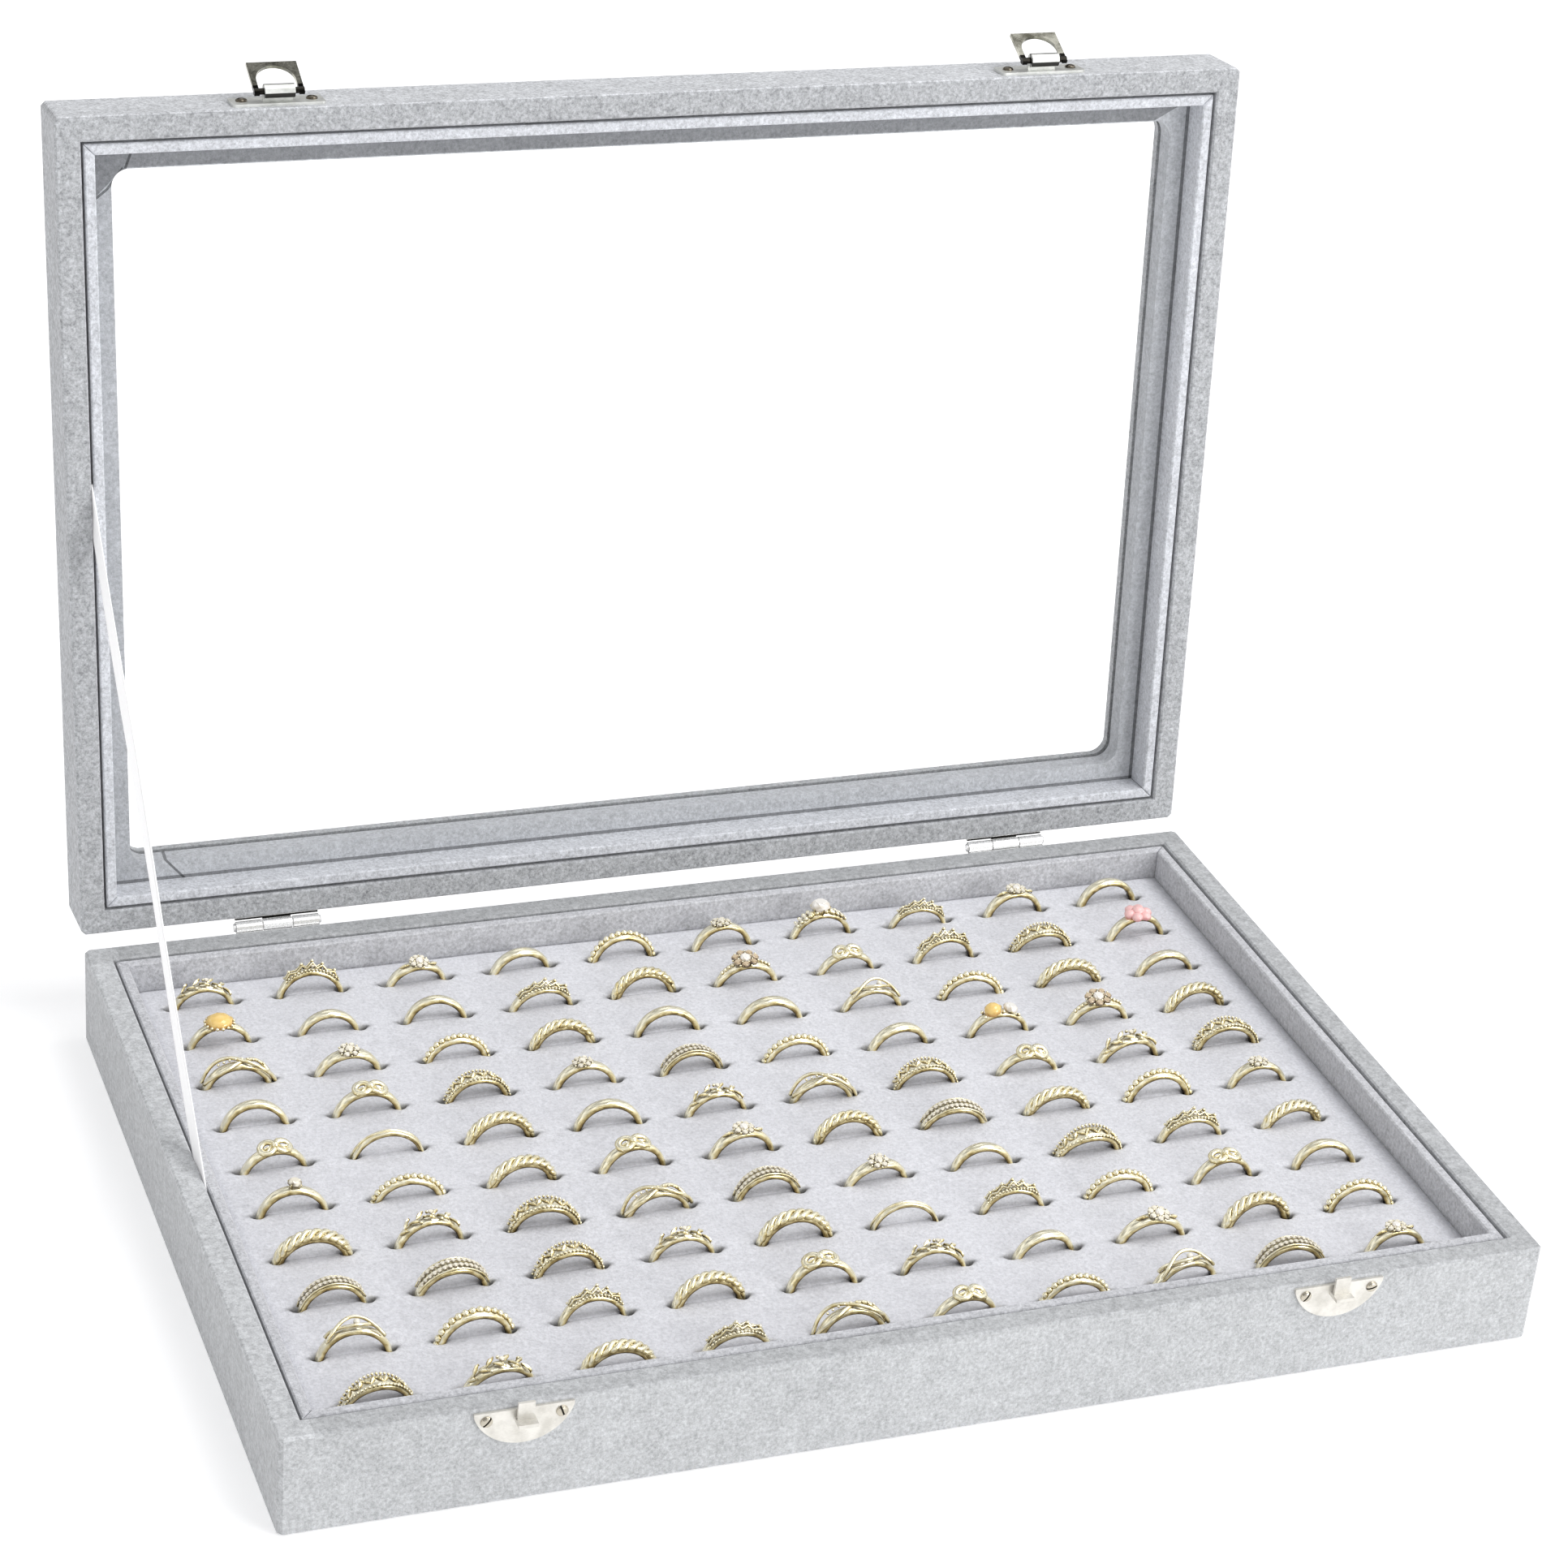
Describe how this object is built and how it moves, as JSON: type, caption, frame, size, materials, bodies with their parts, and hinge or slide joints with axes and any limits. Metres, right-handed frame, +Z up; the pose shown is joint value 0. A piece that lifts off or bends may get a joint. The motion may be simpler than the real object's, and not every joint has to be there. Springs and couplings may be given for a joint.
{
  "type": "ring display tray",
  "caption": "Shallow velvet display tray whose slotted foam pad holds rings in rows under a hinged glass lid with ribbon stay and swing hasps.",
  "frame": {"origin": "middle of the underside of the base", "axes": "+Z up, +Y to the hinges at the back, +X to the right as seen from the front"},
  "size_m": [0.35, 0.2903, 0.2803],
  "materials": {
    "velvet_board": "fibreboard wrapped in pale grey velvet, matt nap",
    "velvet_foam": "soft foam covered with pale grey velvet",
    "clear_glass": "clear float glass",
    "gold_plate": "polished gold plating",
    "nickel_plate": "dull nickel plating",
    "aged_brass": "darkened brass plating",
    "pale_gilt": "pale gilt plating",
    "satin_ribbon": "white woven ribbon"
  },
  "bodies": {
    "base": {"base_frame": "velvet_board", "base_hinge_screws": "nickel_plate", "base_liner_back": "velvet_board", "base_liner_front": "velvet_board", "base_liner_left": "velvet_board", "base_liner_right": "velvet_board", "bottom_board": "velvet_board", "catch_left": "pale_gilt", "catch_right": "pale_gilt", "catch_screws": "pale_gilt", "hinge_base_leaf_left": "nickel_plate", "hinge_base_leaf_right": "nickel_plate", "hinge_pin_left": "nickel_plate", "hinge_pin_right": "nickel_plate", "ring_pad": "velvet_foam", "rings_row_01": "gold_plate", "rings_row_02": "gold_plate", "rings_row_03": "gold_plate", "rings_row_04": "gold_plate", "rings_row_05": "gold_plate", "rings_row_06": "gold_plate", "rings_row_07": "gold_plate", "rings_row_08": "gold_plate", "rings_row_09": "gold_plate", "rings_row_10": "gold_plate", "stay_ribbon": "satin_ribbon"},
    "lid": {"lid_frame": "velvet_board", "lid_liner_front": "velvet_board", "lid_liner_right": "velvet_board", "lid_liner_back": "velvet_board", "lid_liner_left": "velvet_board", "window_mat": "velvet_board", "window_pane": "clear_glass", "hinge_lid_leaf_left": "nickel_plate", "hinge_lid_leaf_right": "nickel_plate", "lid_hinge_screws": "nickel_plate", "hasp_bracket_left": "aged_brass", "hasp_bracket_right": "aged_brass", "hasp_bracket_screws": "aged_brass"},
    "hasp_left": {"hasp_plate_left": "aged_brass"},
    "hasp_right": {"hasp_plate_right": "aged_brass"}
  },
  "joints": [
    {"name": "lid_hinge", "type": "hinge", "parent": "base", "child": "lid", "pos_m": [0, 0.1227, 0.0302], "axis": [1, 0, 0], "range_deg": [0, 95.35], "deforming": ["stay_ribbon"]},
    {"name": "hasp_left_swing", "type": "hinge", "parent": "lid", "child": "hasp_left", "pos_m": [-0.113, 0.14948, 0.27537], "axis": [1, 0, 0], "range_deg": [0, 150]},
    {"name": "hasp_right_swing", "type": "hinge", "parent": "lid", "child": "hasp_right", "pos_m": [0.113, 0.14948, 0.27537], "axis": [1, 0, 0], "range_deg": [0, 150]}
  ]
}
